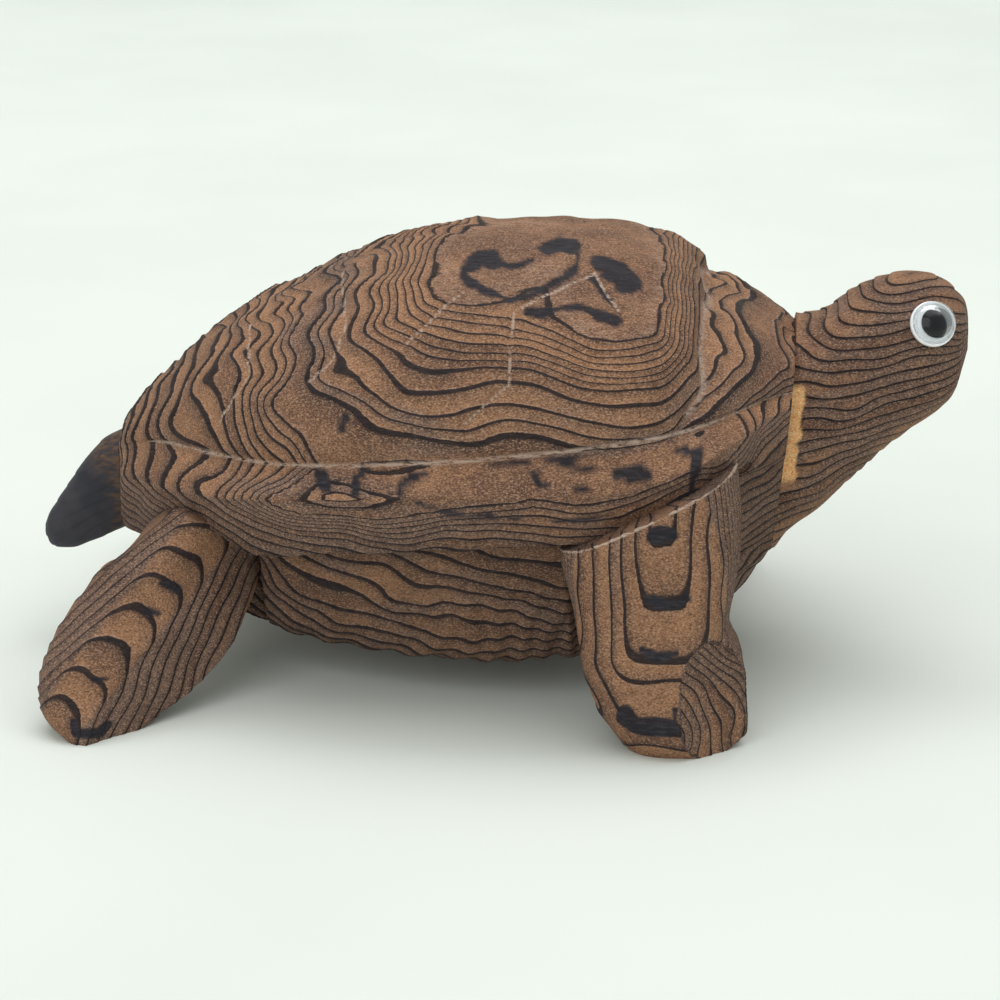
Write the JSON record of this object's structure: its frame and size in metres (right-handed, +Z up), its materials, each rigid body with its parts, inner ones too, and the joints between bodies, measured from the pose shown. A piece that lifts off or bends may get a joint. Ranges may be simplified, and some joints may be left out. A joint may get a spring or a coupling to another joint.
{
  "type": "carved wooden turtle figurine",
  "caption": "Standing turtle figurine carved from textured softwood, with a domed shell over a rim, raised head, splayed legs, dark tail and rolling eyes with loose pupils under clear caps.",
  "frame": {"origin": "on the surface that the feet stand on, under the middle of the figurine's length and width", "axes": "+X towards the snout, +Y to the turtle's left, +Z up"},
  "size_m": [0.1452, 0.1, 0.0675],
  "materials": {
    "carved_wood": "matt, grain worn into raised dark rings",
    "dark_wood": "matt, nearly black",
    "dowel_wood": "plain turned wood",
    "eye_white": "gloss",
    "eye_black": "satin",
    "eye_clear": "clear gloss"
  },
  "bodies": {
    "carving": {"shell_body": "carved_wood", "head_neck": "carved_wood", "tail": "dark_wood", "front_leg_right": "carved_wood", "front_leg_left": "carved_wood", "rear_leg_right": "carved_wood", "rear_leg_left": "carved_wood", "neck_dowel": "dowel_wood", "tail_dowel": "dowel_wood", "front_dowel_right": "dowel_wood", "front_dowel_left": "dowel_wood", "rear_dowel_right": "dowel_wood", "rear_dowel_left": "dowel_wood", "eye_backing_right": "eye_white", "eye_backing_left": "eye_white", "eye_cap_right": "eye_clear", "eye_cap_left": "eye_clear"},
    "pupil_right": {"eye_pupil_right": "eye_black"},
    "pupil_left": {"eye_pupil_left": "eye_black"}
  },
  "joints": [
    {"name": "pupil_roll_right", "type": "hinge", "parent": "carving", "child": "pupil_right", "pos_m": [0.06678, -0.00881, 0.05587], "axis": [0.2285, -0.8529, 0.4695], "continuous": true},
    {"name": "pupil_roll_left", "type": "hinge", "parent": "carving", "child": "pupil_left", "pos_m": [0.06678, 0.00881, 0.05587], "axis": [0.2285, 0.8529, 0.4695], "continuous": true}
  ]
}
